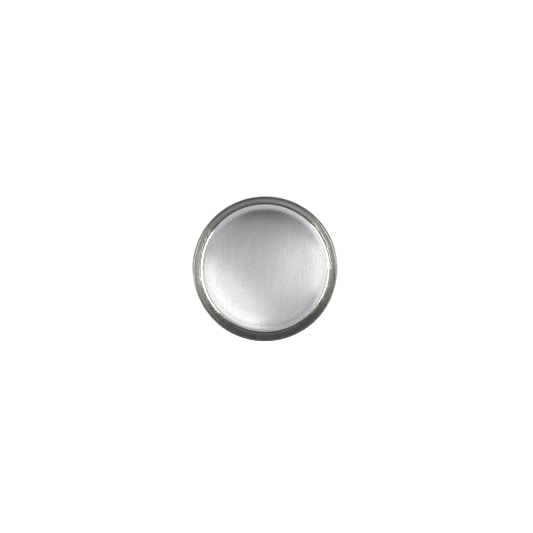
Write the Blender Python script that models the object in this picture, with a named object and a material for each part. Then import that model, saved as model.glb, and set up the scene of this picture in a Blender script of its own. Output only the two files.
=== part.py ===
"""Candle tin: a drawn tinplate body with a curled rim, standing in its upturned slip lid.

Both pieces are pressed from one round blank of tinplate, so each is one sheet of constant
thickness with no seam. Each is modelled as a line down the middle of the sheet, from the axis
outwards, which a Screw modifier turns about Z and a Solidify modifier gives its thickness.
The lid lies inside up on the table, as it does under a burning candle, and the body stands in
it and lifts straight out. Metres, +Z up, origin on the table under the centre of the lid.
"""

import math

import bmesh
import bpy

# The sheet
SHEET = 0.00026  # thickness of the tinplate

# The tin's body
RIM_DIAMETER = 0.080  # across the outside of the curled rim
BODY_HEIGHT = 0.051  # from the foot to the top of the curled rim
BODY_CURL = 0.00135  # outside diameter of the rolled edge
BODY_CORNER = 0.0014  # inside radius between wall and floor
FOOT_WIDTH = 0.0024  # flat ring that the body stands on, inside the corner
FLOOR_CROWN = 0.0002  # how far the middle of the floor stands above the foot
WICK_SEAT_DIAMETER = 0.016  # flat middle of the floor, where a wick's metal tab is glued

# The slip lid
SLIP_CLEARANCE = 0.00020  # between the body's rim and the inside of the lid's skirt
LID_HEIGHT = 0.0145  # from the outside of the panel to the edge of the skirt
LID_CURL = 0.00135  # outside diameter of the rolled edge
LID_CORNER = 0.0020  # inside radius between skirt and top
PANEL_STEP = 0.0008  # how far the panel stands out of the lid's top
STEP_WIDTH = 0.0012  # width of the slope round the panel
PANEL_MARGIN = 0.0010  # from the panel's slope to the inner edge of the body's foot

# How they stand together
SEAT_GAP = 0.0003  # between the body's foot and the lid it stands in

# How finely the round shapes are cut
TURN_STEPS = 64
CORNER_STEPS = 4
CURL_STEPS = 9
CROWN_STEPS = 4
CURL_END = math.radians(-100)  # where the rolled edge stops, just short of the wall

# Worked out from the sizes above
body_wall = RIM_DIAMETER / 2 - BODY_CURL + SHEET / 2  # radius of the middle of the sheet
body_corner = BODY_CORNER + SHEET / 2
foot_outer = body_wall - body_corner
foot_inner = foot_outer - FOOT_WIDTH
lid_wall = RIM_DIAMETER / 2 + SLIP_CLEARANCE + SHEET / 2
lid_corner = LID_CORNER + SHEET / 2
panel_radius = foot_inner - PANEL_MARGIN - STEP_WIDTH
body_seat = PANEL_STEP + SHEET + SEAT_GAP  # height of the body's foot over the table


def arc(centre, radius, start, end, steps):
    """Points on an arc in the (radius, height) plane, both ends included."""
    turns = [start + (end - start) * i / steps for i in range(steps + 1)]
    return [(centre[0] + radius * math.cos(a), centre[1] + radius * math.sin(a)) for a in turns]


def slope(start, end, steps):
    """Points on a smooth S-shaped slope that is level at both ends, without its first point."""
    points = []
    for i in range(1, steps + 1):
        share = i / steps
        rise = (1 - math.cos(math.pi * share)) / 2
        points.append((start[0] + (end[0] - start[0]) * share, start[1] + (end[1] - start[1]) * rise))
    return points


def drawn_side(wall, corner, floor, top, curl):
    """The corner, the straight wall and the edge that is rolled outwards and down at its top."""
    roll = (curl - SHEET) / 2
    corner_centre = (wall - corner, floor + corner)
    roll_centre = (wall + roll, top - curl / 2)
    return (
        arc(corner_centre, corner, math.radians(-90), 0, CORNER_STEPS)
        + arc(roll_centre, roll, math.radians(180), CURL_END, CURL_STEPS)
    )


def body_line():
    """Middle of the body's sheet, with the foot's underside at height 0."""
    foot = SHEET / 2
    middle = foot + FLOOR_CROWN
    seat_edge = (WICK_SEAT_DIAMETER / 2, middle)
    return (
        [(0, middle), seat_edge]
        + slope(seat_edge, (foot_inner, foot), CROWN_STEPS)
        + drawn_side(body_wall, body_corner, foot, BODY_HEIGHT, BODY_CURL)
    )


def lid_line():
    """Middle of the upturned lid's sheet, with the panel's outside at height 0."""
    panel = SHEET / 2
    shoulder = panel + PANEL_STEP
    panel_edge = (panel_radius, panel)
    return (
        [(0, panel), panel_edge]
        + slope(panel_edge, (panel_radius + STEP_WIDTH, shoulder), CROWN_STEPS)
        + drawn_side(lid_wall, lid_corner, shoulder, LID_HEIGHT, LID_CURL)
    )


def tinplate(name, colour, roughness):
    material = bpy.data.materials.new(name)
    material.use_nodes = True
    shader = material.node_tree.nodes["Principled BSDF"]
    shader.inputs["Base Color"].default_value = (*colour, 1)
    shader.inputs["Metallic"].default_value = 1
    shader.inputs["Roughness"].default_value = roughness
    return material


def turned_sheet(name, line, material, height=0):
    """One piece of sheet, turned about Z from the line down its middle."""
    outline = bmesh.new()
    points = [outline.verts.new((radius, 0, z)) for radius, z in line]
    for a, b in zip(points, points[1:]):
        outline.edges.new((a, b))
    mesh = bpy.data.meshes.new(name)
    outline.to_mesh(mesh)
    outline.free()
    mesh.materials.append(material)

    piece = bpy.data.objects.new(name, mesh)
    piece.location.z = height
    bpy.context.scene.collection.objects.link(piece)

    turn = piece.modifiers.new("turn", "SCREW")
    turn.axis = "Z"
    turn.angle = math.tau
    turn.steps = turn.render_steps = TURN_STEPS
    turn.use_merge_vertices = True
    turn.merge_threshold = 1e-6
    turn.use_smooth_shade = True

    sheet = piece.modifiers.new("sheet", "SOLIDIFY")
    sheet.thickness = SHEET
    sheet.offset = 0
    sheet.use_even_offset = True
    return piece


def build():
    for old in list(bpy.data.objects):
        bpy.data.objects.remove(old)
    turned_sheet("lid", lid_line(), tinplate("lid_tinplate", (0.74, 0.74, 0.73), 0.28))
    turned_sheet("tin_body", body_line(), tinplate("body_tinplate", (0.72, 0.72, 0.71), 0.32), body_seat)


build()
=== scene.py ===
import math
import bpy
from mathutils import Matrix, Vector


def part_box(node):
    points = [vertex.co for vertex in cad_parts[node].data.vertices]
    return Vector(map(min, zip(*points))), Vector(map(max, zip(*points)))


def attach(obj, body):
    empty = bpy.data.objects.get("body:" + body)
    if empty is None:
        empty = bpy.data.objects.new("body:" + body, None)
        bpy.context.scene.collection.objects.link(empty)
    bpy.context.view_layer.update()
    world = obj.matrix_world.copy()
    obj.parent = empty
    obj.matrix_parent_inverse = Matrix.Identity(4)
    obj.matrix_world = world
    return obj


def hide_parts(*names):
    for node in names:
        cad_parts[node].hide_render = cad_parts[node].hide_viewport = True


# A candle tin: a drawn tinplate body with a curled rim, open and empty, in its upturned slip lid.
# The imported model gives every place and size; here the sheet metal is turned fine, finished and lit.
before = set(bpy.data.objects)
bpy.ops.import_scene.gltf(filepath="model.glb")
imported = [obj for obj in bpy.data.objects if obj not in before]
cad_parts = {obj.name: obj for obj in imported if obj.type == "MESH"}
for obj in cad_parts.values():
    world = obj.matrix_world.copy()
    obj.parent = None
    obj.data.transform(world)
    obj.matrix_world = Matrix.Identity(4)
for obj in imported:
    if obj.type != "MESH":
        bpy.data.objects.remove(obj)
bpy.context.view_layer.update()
bodyLow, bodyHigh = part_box("tin_body")
lidLow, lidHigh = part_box("lid")
print(f"tin {1000 * bodyHigh.x * 2:.1f} mm across the rim, top at {1000 * bodyHigh.z:.1f} mm")


# Sheet metal is drawn as a line down the middle of the sheet, (radius, height), from the axis outwards.

def arc(centre, radius, start, end, steps):
    # start and end in degrees, both included
    turns = [math.radians(start + (end - start) * i / steps) for i in range(steps + 1)]
    return [(centre[0] + radius * math.cos(a), centre[1] + radius * math.sin(a)) for a in turns]


def even(share):
    return share


def eased(share):
    # level at both ends
    return (1 - math.cos(math.pi * share)) / 2


def steepening(share):
    # level at the start
    return share ** 2


def path(start, end, steps, rise=even):
    # both ends included; rise tells how much of the height is gained after a share of the way
    points = []
    for i in range(steps + 1):
        share = i / steps
        across = (end[0] - start[0]) * share
        up = (end[1] - start[1]) * rise(share)
        points.append((start[0] + across, start[1] + up))
    return points


def drawnSide(wall, corner, floorZ, topZ, piece, lean=0):
    # the corner, the straight wall and the rolled edge; the floor meets the corner at the lean
    roll = (piece["curl"] - piece["sheet"]) / 2
    bend = arc((wall - corner, floorZ + corner), corner, lean - 90, 0, piece["cornerSteps"])
    curl = arc((wall + roll, topZ - piece["curl"] / 2), roll, 180, piece["curlEnd"], piece["curlSteps"])
    return bend, path(bend[-1], curl[0], piece["wallSteps"])[1:-1], curl


def shares(floor, bend, wall, curl):
    # how far each point of the line was drawn out of the flat, and whether it is rolled
    turned = [eased(i / (len(bend) - 1)) for i in range(len(bend))]
    drawn = [0.0] * len(floor) + turned + [1.0] * (len(wall) + len(curl))
    rolled = [0.0] * (len(floor) + len(bend) + len(wall)) + [1.0] * len(curl)
    return drawn, rolled


def offsetLine(line, distance):
    # the line moved to its left as it runs outwards, which is to the inside of the piece
    moved = []
    for i, (r, z) in enumerate(line):
        before = Vector(line[max(i - 1, 0)])
        along = (Vector(line[min(i + 1, len(line) - 1)]) - before).normalized()
        if i == 0:
            along = Vector((1, 0))
        moved.append((max(r - along.y * distance, 0), z + along.x * distance))
    return moved


def closedSkin(line, piece):
    # out along the inside, round the raw edge and back along the outside; each point has its radius,
    # its height, its place on the line, and 1 inside, 0 outside or 0.5 on the raw edge
    half = piece["sheet"] / 2
    inner = offsetLine(line, half)
    outer = offsetLine(line, -half)
    tip = Vector(line[-1])
    ahead = (tip - Vector(line[-2])).normalized() * half
    side = Vector(inner[-1]) - tip
    last = len(line) - 1
    skin = [(r, z, i, 1.0) for i, (r, z) in enumerate(inner)]
    for i in range(1, piece["edgeSteps"]):
        turn = math.pi * i / piece["edgeSteps"]
        r, z = tip + side * math.cos(turn) + ahead * math.sin(turn)
        skin.append((r, z, last, 0.5))
    skin += [(*outer[i], i, 0.0) for i in range(last, -1, -1)]
    return skin


def bridge(a, b):
    # the faces between two rings; a ring of one point is a pole on the axis
    around = max(len(a), len(b))
    faces = []
    for j in range(around):
        n = (j + 1) % around
        if len(a) == 1:
            faces.append((a[0], b[j], b[n]))
        elif len(b) == 1:
            faces.append((a[j], b[0], a[n]))
        else:
            faces.append((a[j], b[j], b[n], a[n]))
    return faces


def turnSheet(name, line, drawn, rolled, piece, shift):
    spots, rings = [], []
    marks = {"drawn": [], "rolled": [], "inside": [], "cutEdge": []}
    skin = closedSkin(line, piece)
    for k, (r, z, onLine, inside) in enumerate(skin):
        pole = k in (0, len(skin) - 1)
        ring = []
        for j in range(1 if pole else piece["around"]):
            ring.append(len(spots))
            spots.append(shift(0 if pole else r, math.tau * j / piece["around"], z))
            marks["drawn"].append(drawn[onLine])
            marks["rolled"].append(rolled[onLine])
            marks["inside"].append(inside)
            marks["cutEdge"].append(float(inside == 0.5))
        rings.append(ring)

    faces = []
    for a, b in zip(rings, rings[1:]):
        faces += bridge(a, b)
    mesh = bpy.data.meshes.new(name)
    mesh.from_pydata(spots, [], faces)
    for label, values in marks.items():
        mesh.attributes.new(label, "FLOAT", "POINT").data.foreach_set("value", values)
    mesh.shade_smooth()
    made = bpy.data.objects.new(name, mesh)
    bpy.context.scene.collection.objects.link(made)
    print(f"{name}: {len(line)} points down the sheet, {len(faces)} faces")
    return made


body = {
    # metres
    "sheet": 0.00026,
    "curl": 0.00135,        # across the rolled edge
    "corner": 0.0014,       # inside radius
    "foot": 0.0024,         # width of the ring it stands on
    "footRise": 0.000032,   # the ring turns up towards the corner
    "crown": 0.0001,        # rise of the middle
    "seat": 0.016,          # flat middle, across
    "oval": 0.00006,        # the wall out of round at the rim
    "lobes": 0.00002,       # its wave from drawing, at the rim
    # angles and counts
    "curlEnd": -104,        # degrees; the raw edge tucks under
    "ovalTurn": -0.9,       # radians
    "lobeCount": 5,
    "lobeTurn": 1.3,        # radians
    "around": 240,
    "seatSteps": 14,
    "crownSteps": 28,
    "footSteps": 8,
    "cornerSteps": 16,
    "wallSteps": 16,
    "curlSteps": 30,
    "edgeSteps": 6,
}


def bodyShift(r, angle, z):
    height = (z - bodyLow.z) / (bodyHigh.z - bodyLow.z) * r / bodyHigh.x
    r += height * body["oval"] * math.cos(2 * angle + body["ovalTurn"])
    r += height * body["lobes"] * math.cos(body["lobeCount"] * angle + body["lobeTurn"])
    return (r * math.cos(angle), r * math.sin(angle), z)


def makeBody():
    half = body["sheet"] / 2
    wall = bodyHigh.x - body["curl"] + half
    corner = body["corner"] + half
    footZ = bodyLow.z + half
    middleZ = footZ + body["crown"]
    footOut = wall - corner
    footIn = footOut - body["foot"]
    riseZ = footZ + body["footRise"]
    seat = body["seat"] / 2
    floor = path((0, middleZ), (seat, middleZ), body["seatSteps"])
    floor += path((seat, middleZ), (footIn, footZ), body["crownSteps"], steepening)[1:]
    floor += path((footIn, footZ), (footOut, riseZ), body["footSteps"], steepening)[1:-1]
    lean = math.atan(2 * body["footRise"] / body["foot"])   # how steep the ring is where the corner starts
    cornerZ = riseZ - corner * (1 - math.cos(lean))
    bend, side, curl = drawnSide(wall, corner, cornerZ, bodyHigh.z, body, math.degrees(lean))
    drawn, rolled = shares(floor, bend, side, curl)
    made = turnSheet("tinBody", floor + bend + side + curl, drawn, rolled, body, bodyShift)
    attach(made, "tin")
    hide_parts("tin_body")
    return made


lid = {
    # metres
    "sheet": 0.00026,
    "curl": 0.00135,        # across the rolled edge
    "corner": 0.0020,       # inside radius
    "panelStep": 0.0008,    # how far the panel stands out
    "stepWidth": 0.0012,
    "panelMargin": 0.0060,  # from the inside of the body's wall to the step
    "oval": 0.00005,        # the skirt out of round at its edge
    # angles and counts
    "curlEnd": -104,        # degrees; the raw edge tucks under
    "ovalTurn": 2.1,        # radians
    "around": 240,
    "panelSteps": 28,
    "stepSteps": 14,
    "shoulderSteps": 5,
    "cornerSteps": 14,
    "wallSteps": 8,
    "curlSteps": 30,
    "edgeSteps": 6,
}


def lidShift(r, angle, z):
    r += lid["oval"] * z / lidHigh.z * r / lidHigh.x * math.cos(2 * angle + lid["ovalTurn"])
    return (r * math.cos(angle), r * math.sin(angle), z)


def makeLid():
    half = lid["sheet"] / 2
    wall = lidHigh.x - lid["curl"] + half
    corner = lid["corner"] + half
    panelZ = lidLow.z + half
    shoulderZ = panelZ + lid["panelStep"]
    panel = bodyHigh.x - body["curl"] - lid["panelMargin"]
    shoulder = panel + lid["stepWidth"]
    floor = path((0, panelZ), (panel, panelZ), lid["panelSteps"])
    floor += path((panel, panelZ), (shoulder, shoulderZ), lid["stepSteps"], eased)[1:]
    floor += path((shoulder, shoulderZ), (wall - corner, shoulderZ), lid["shoulderSteps"])[1:-1]
    bend, side, curl = drawnSide(wall, corner, shoulderZ, lidHigh.z, lid)
    drawn, rolled = shares(floor, bend, side, curl)
    made = turnSheet("slipLid", floor + bend + side + curl, drawn, rolled, lid, lidShift)
    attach(made, "lid")
    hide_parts("lid")
    return made


class Wire:
    # an output socket that takes arithmetic
    def __init__(self, recipe, socket):
        self.recipe = recipe
        self.socket = socket

    def maths(self, operation, first, second):
        return self.recipe.node("Math", {"operation": operation}, [first, second])

    def __add__(self, other):
        return self.maths("ADD", self, other)

    def __radd__(self, other):
        return self.maths("ADD", other, self)

    def __sub__(self, other):
        return self.maths("SUBTRACT", self, other)

    def __rsub__(self, other):
        return self.maths("SUBTRACT", other, self)

    def __mul__(self, other):
        return self.maths("MULTIPLY", self, other)

    def __rmul__(self, other):
        return self.maths("MULTIPLY", other, self)


class Recipe:
    # one node tree
    def __init__(self, owner, shader):
        owner.use_nodes = True
        self.tree = owner.node_tree
        self.shader = self.tree.nodes[shader]

    def node(self, kind, settings=None, sockets=(), outlet=0):
        # sockets is a list in their order, or a dictionary by name or number
        made = self.tree.nodes.new("ShaderNode" + kind)
        for key, value in (settings or {}).items():
            if key == "stops":
                self.setStops(made.color_ramp, value)
            else:
                setattr(made, key, value)
        named = sockets.items() if isinstance(sockets, dict) else enumerate(sockets)
        for key, value in named:
            self.fill(made.inputs[key], value)
        return Wire(self, made.outputs[outlet])

    def setStops(self, ramp, stops):
        while len(ramp.elements) < len(stops):
            ramp.elements.new(1)
        for element, (place, shade) in zip(ramp.elements, stops):
            element.position = place
            element.color = (*shade, 1)

    def fill(self, socket, value):
        if isinstance(value, Wire):
            self.tree.links.new(value.socket, socket)
        elif socket.type == "RGBA":
            socket.default_value = (*value, 1)
        else:
            socket.default_value = value

    def surface(self, sockets):
        for key, value in sockets.items():
            self.fill(self.shader.inputs[key], value)

    def blend(self, share, first, second):
        return self.node("Mix", {"data_type": "RGBA"}, {0: share, 6: first, 7: second}, 2)

    def tinted(self, shade, amount):
        return self.node("VectorMath", {"operation": "SCALE"}, {0: shade, "Scale": amount})

    def ease(self, value, low, high):
        return self.node("MapRange", {"interpolation_type": "SMOOTHSTEP"}, [value, low, high])

    def stretched(self, vector, scales):
        return self.node("VectorMath", {"operation": "MULTIPLY"}, [vector, scales])

    def noise(self, vector, scale, detail=2, roughness=0.5):
        sockets = {"Vector": vector, "Scale": scale, "Detail": detail, "Roughness": roughness}
        return self.node("TexNoise", None, sockets)

    def mark(self, label):
        return self.node("Attribute", {"attribute_name": label}, (), "Fac")


tinplate = {
    "floorColour": (0.80, 0.805, 0.815),
    # painted shade: the inside wall, darker than the sheet, for the dark surroundings it would mirror
    "wallPaintedShade": (0.43, 0.43, 0.40),
    # painted highlight: the foot of the inside wall, lighter, for the bright corner it mirrors
    "cornerPaintedHighlight": (0.74, 0.74, 0.71),
    # painted shade: the outside, darker than the sheet, so that the bright paper it mirrors does not burn
    # out
    "outsidePaintedShade": (0.42, 0.42, 0.413),
    # painted shade: the rolled edge, darkest, for the dark surroundings it would mirror
    "rollPaintedShade": (0.16, 0.16, 0.155),
    "cutColour": (0.34, 0.33, 0.32),
    "edgeTint": (0.42, 0.42, 0.39),     # at a glancing angle
    "wallFrom": (0.45, 1.0),            # how drawn the sheet is where the wall's colour begins and is full
    "floorRough": 0.14,
    "wallRough": 0.23,
    "rollRough": 0.30,
    # the floor's edge, which the punch rubbed smooth; its colour is painted a little brighter, a painted
    # highlight where the wall shades it
    "footEdge": (26, 33),               # millimetres from the middle
    "footRough": 0.08,
    "footPaintedHighlight": 1.03,
    # the corner and the foot of the wall, a little rougher; the foot of the inside wall is painted
    # lighter, a painted highlight of the bright corner it mirrors
    "scuffedAndPaintedHighlight": (2, 16),                 # millimetres up
    "scuffedRough": 0.25,
    # how close each pattern is, in features per millimetre, along X, Y and Z where there are three
    "fineGrain": (7.0, 0.22, 7.0),
    "broadGrain": (1.6, 0.05, 1.6),
    "mottle": (1.3, 0.75, 1.3),
    "stone": 3.2,
    "cloud": 0.07,
    "peel": 1.9,
    "drawLines": 230,                   # for each radian round the wall
    "drawBreaks": 0.08,                 # up the wall
    # how much each pattern tells in the colour, the roughness and the relief
    "plainShade": 0.62,
    "shades": {"cloud": 0.08, "stone": 0.10, "mottle": 0.40, "broadGrain": 0.16},
    "mottleDrawn": 0.5,                 # share of the mottle that drawing takes away
    "roughs": {"stone": 0.10, "fineGrain": 0.06, "cloud": 0.08},
    "heights": {"fineGrain": 0.8, "stone": 0.5, "drawLines": 0.6, "peel": 0.5},
    "relief": 0.0000022,                # metres
}


def makeTinplate(name, finish):
    material = bpy.data.materials.new(name)
    metal = Recipe(material, "Principled BSDF")
    place = metal.node("TexCoord", None, (), "Object")
    mm = metal.node("VectorMath", {"operation": "SCALE"}, {0: place, "Scale": 1000})
    drawn = metal.mark("drawn")
    rolled = metal.mark("rolled")
    inside = metal.mark("inside")
    cut = metal.mark("cutEdge")

    # the flat sheet keeps the mill's rolling grain, straight along Y, over a stone finish
    fineGrain = metal.noise(metal.stretched(mm, finish["fineGrain"]), 1, detail=3, roughness=0.6)
    broadGrain = metal.noise(metal.stretched(mm, finish["broadGrain"]), 1)
    mottle = metal.noise(metal.stretched(mm, finish["mottle"]), 1, detail=3, roughness=0.7)
    stone = metal.noise(mm, finish["stone"], detail=4, roughness=0.65)
    cloud = metal.noise(mm, finish["cloud"], detail=3)

    # the wall has draw lines up it and the orange peel of stretched sheet
    flat = metal.stretched(mm, (1, 1, 0))
    outwards = metal.node("VectorMath", {"operation": "NORMALIZE"}, [flat])
    up = metal.stretched(mm, (0, 0, finish["drawBreaks"]))
    closeness = [finish["drawLines"]] * 3
    lineSpot = metal.node("VectorMath", {"operation": "MULTIPLY_ADD"}, [outwards, closeness, up])
    drawLines = metal.noise(lineSpot, 1, detail=3, roughness=0.6)
    peel = metal.noise(mm, finish["peel"], detail=3, roughness=0.55)

    # where the punch rubbed the floor smooth, its colour also painted brighter as a painted highlight, and
    # the foot of the wall, rougher and painted lighter as a painted highlight
    fromMiddle = metal.node("VectorMath", {"operation": "LENGTH"}, [flat], "Value")
    rubbedAndPaintedHighlight = metal.ease(fromMiddle, *finish["footEdge"]) * (1 - drawn) * inside
    upwards = metal.node("SeparateXYZ", None, [mm], "Z")
    # painted highlight: the foot of the wall painted lighter, fading out from 2 to 16 mm up
    scuffedAndPaintedHighlight = 1 - metal.ease(upwards, *finish["scuffedAndPaintedHighlight"])

    # painted shade and painted highlight: the walls, the outside and the rolled edge get colours painted
    # for what they would mirror
    insidePaintedShadeAndHighlight = metal.blend(scuffedAndPaintedHighlight, finish["wallPaintedShade"], finish["cornerPaintedHighlight"])
    wallPaintedShade = metal.blend(inside, finish["outsidePaintedShade"], insidePaintedShadeAndHighlight)
    shade = metal.blend(metal.ease(drawn, *finish["wallFrom"]), finish["floorColour"], wallPaintedShade)
    # painted shade on the rolled edge
    shade = metal.blend(rolled, shade, finish["rollPaintedShade"])
    shade = metal.blend(cut, shade, finish["cutColour"])
    shades = finish["shades"]
    worn = finish["plainShade"] + shades["cloud"] * cloud + shades["stone"] * stone
    worn = worn + shades["mottle"] * mottle * (1 - finish["mottleDrawn"] * drawn)
    worn = worn + shades["broadGrain"] * broadGrain
    # painted highlight: the floor's edge a little brighter
    shade = metal.tinted(shade, worn * (1 + (finish["footPaintedHighlight"] - 1) * rubbedAndPaintedHighlight))

    rough = finish["floorRough"] + (finish["wallRough"] - finish["floorRough"]) * drawn
    rough = rough + (finish["footRough"] - finish["floorRough"]) * rubbedAndPaintedHighlight
    rough = rough + (finish["scuffedRough"] - finish["wallRough"]) * scuffedAndPaintedHighlight * drawn
    rough = rough + (finish["rollRough"] - finish["wallRough"]) * rolled
    roughs = finish["roughs"]   # each pattern averages a half
    rough = rough + roughs["stone"] * (stone - 0.5)
    rough = rough + roughs["fineGrain"] * (fineGrain - 0.5)
    rough = rough + roughs["cloud"] * (cloud - 0.5)

    heights = finish["heights"]
    flatHeight = fineGrain * heights["fineGrain"] + stone * heights["stone"]
    wallHeight = drawLines * heights["drawLines"] + peel * heights["peel"]
    height = flatHeight * (1 - drawn) + wallHeight * drawn
    bump = metal.node("Bump", None, {"Strength": 1, "Distance": finish["relief"], "Height": height})
    metal.surface({"Base Color": shade, "Metallic": 1, "Roughness": rough, "Normal": bump,
                   "Specular Tint": finish["edgeTint"], "Specular IOR Level": 0})
    print("finished", name)
    return material


paper = {
    "side": 1.8,
    "drop": 0.00002,        # below the lid, so that the two faces don't meet
    "colour": (0.76, 0.76, 0.76),
    "rough": 0.9,
}


def makeFloor():
    half = paper["side"] / 2
    corners = [(-half, -half, 0), (half, -half, 0), (half, half, 0), (-half, half, 0)]
    mesh = bpy.data.meshes.new("studioFloor")
    mesh.from_pydata(corners, [], [(0, 1, 2, 3)])
    floor = bpy.data.objects.new("studioFloor", mesh)
    bpy.context.scene.collection.objects.link(floor)
    floor.location.z = -paper["drop"]
    material = bpy.data.materials.new("studioPaper")
    matt = Recipe(material, "Principled BSDF")
    matt.surface({"Base Color": paper["colour"], "Roughness": paper["rough"]})
    mesh.materials.append(material)
    print("laid the paper")


sky = {
    "colour": (0.97, 0.98, 1.0),
    # brightness by height, from the horizon to straight up
    "stops": [(0.0, 1.05), (0.18, 1.0), (0.40, 0.62), (0.78, 0.68), (0.93, 0.60), (1.0, 0.58)],
    "cardDepth": 0.80,      # how much a dark card overhead, towards +Y, takes away
    "cardEdge": (0.011, 0.060),
    "cardEnd": (0.16, 0.24),
    "cardTaper": 0.22,      # how fast its edge draws back to the sides
}


def makeSky():
    world = bpy.data.worlds.new("studioSky")
    dome = Recipe(world, "Background")
    towards = dome.node("TexCoord", None, (), "Generated")
    upwards = dome.node("SeparateXYZ", None, [towards], "Z")
    behind = dome.node("SeparateXYZ", None, [towards], "Y")
    aside = dome.node("Math", {"operation": "ABSOLUTE"}, [dome.node("SeparateXYZ", None, [towards], "X")])
    card = dome.ease(behind - sky["cardTaper"] * aside, *sky["cardEdge"])
    card = card * (1 - dome.ease(behind, *sky["cardEnd"]))
    stops = [(height, (power, power, power)) for height, power in sky["stops"]]
    power = dome.node("ValToRGB", {"stops": stops}, [upwards]) * (1 - sky["cardDepth"] * card)
    dome.surface({"Color": sky["colour"], "Strength": power})
    bpy.context.scene.world = world
    print("made the sky")


lamps = {
    "colour": (1.0, 0.968, 0.91),
    "softboxes": {
        # azimuth from +X, degrees from straight up, distance, width, height, brightness (white paper is 1)
        "lowRight": (-10, 57, 1.3, 0.9, 0.5, 21),
        "lowLeft": (202, 57, 1.3, 0.8, 0.5, 26),
        "overRight": (-5, 5.8, 0.74, 0.07, 0.11, 0.54),
        "overFrontLeft": (224, 7.5, 0.74, 0.12, 0.10, 0.68),
    },
}


def hangSoftbox(name, azimuth, tilt, distance, width, height, brightness):
    turn = math.radians(azimuth)
    lean = math.radians(tilt)
    aside = math.sin(lean)
    towards = Vector((aside * math.cos(turn), aside * math.sin(turn), math.cos(lean)))
    light = bpy.data.lights.new(name, "AREA")
    light.shape = "RECTANGLE"
    light.size = width
    light.size_y = height
    light.energy = math.pi * width * height * brightness
    light.color = lamps["colour"]
    lamp = bpy.data.objects.new(name, light)
    lamp.location = Vector((0, 0, bodyLow.z)) + towards * distance
    lamp.rotation_euler = (-towards).to_track_quat("-Z", "Y").to_euler()
    bpy.context.scene.collection.objects.link(lamp)
    print("hung", name)


view = {
    "height": 0.576,        # metres over the rim
    "place": (0.0, 0.0065),     # where the camera hangs
    "aim": (0.00085, 0.00137),  # where it looks, at the height of the rim
    "lens": 70.8,           # millimetres
    "clip": (0.05, 50),
}


def makeCamera():
    data = bpy.data.cameras.new("fromAbove")
    data.lens = view["lens"]
    data.clip_start, data.clip_end = view["clip"]
    spot = Vector((*view["place"], bodyHigh.z + view["height"]))
    aim = Vector((*view["aim"], bodyHigh.z))
    back = (spot - aim).normalized()
    right = Vector((0, 1, 0)).cross(back).normalized()
    turn = Matrix((right, back.cross(right), back)).transposed()
    camera = bpy.data.objects.new("fromAbove", data)
    camera.matrix_world = Matrix.Translation(spot) @ turn.to_4x4()
    bpy.context.scene.collection.objects.link(camera)
    bpy.context.scene.camera = camera
    bpy.context.scene.view_settings.view_transform = "Standard"
    print(f"camera {spot.z:.3f} m up, looking down")


tin = makeBody()
tin.data.materials.append(makeTinplate("bodyTinplate", tinplate))
cover = makeLid()
cover.data.materials.append(makeTinplate("lidTinplate", tinplate))
makeFloor()
makeSky()
for boxName, box in lamps["softboxes"].items():
    hangSoftbox(boxName, *box)
makeCamera()
